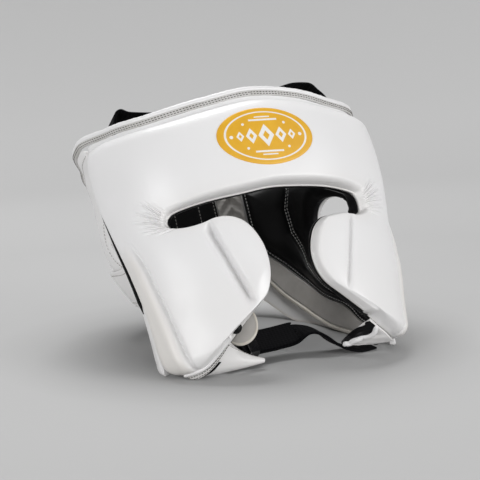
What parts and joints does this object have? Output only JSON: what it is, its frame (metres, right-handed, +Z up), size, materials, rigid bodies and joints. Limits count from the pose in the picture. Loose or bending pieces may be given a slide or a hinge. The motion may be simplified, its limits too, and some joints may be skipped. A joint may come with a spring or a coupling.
{
  "type": "head guard",
  "caption": "Padded leather head guard with brow and cheek pads, ear holes, lined hollow, crown straps, rear closure strap and a webbing chin strap.",
  "frame": {"origin": "on the surface the head guard stands on, under the middle of its overall box", "axes": "+Z up, -Y towards the side the face looks out of, +X towards the wearer's left"},
  "size_m": [0.2407, 0.268, 0.2063],
  "materials": {
    "white_leather": "smooth white leather, satin",
    "black_lining": "smooth black leather, satin",
    "gold_badge": "gold print on leather, satin",
    "binding_leather": "sewn white binding, satin",
    "grey_liner": "quilted grey satin cloth",
    "piping": "cream piping, satin",
    "black_webbing": "woven black webbing, matt",
    "strap_keeper": "smooth black keeper, gloss"
  },
  "bodies": {
    "root": {"front_shell": "white_leather", "shell_lining": "black_lining", "badge": "gold_badge", "top_binding": "binding_leather", "back_panel": "black_lining", "closure_strap": "white_leather", "rear_panel_left": "white_leather", "rear_panel_right": "white_leather", "ear_cushion_left": "black_lining", "ear_cushion_right": "black_lining", "rear_liner_left": "grey_liner", "rear_liner_right": "grey_liner", "liner_piping_left": "piping", "liner_piping_right": "piping", "crown_strap_left": "black_webbing", "crown_strap_right": "black_webbing", "chin_flap_left": "white_leather", "chin_flap_right": "white_leather", "jaw_tab": "grey_liner", "chin_strap": "black_webbing", "strap_tail": "black_webbing", "strap_keeper": "strap_keeper"}
  },
  "joints": []
}
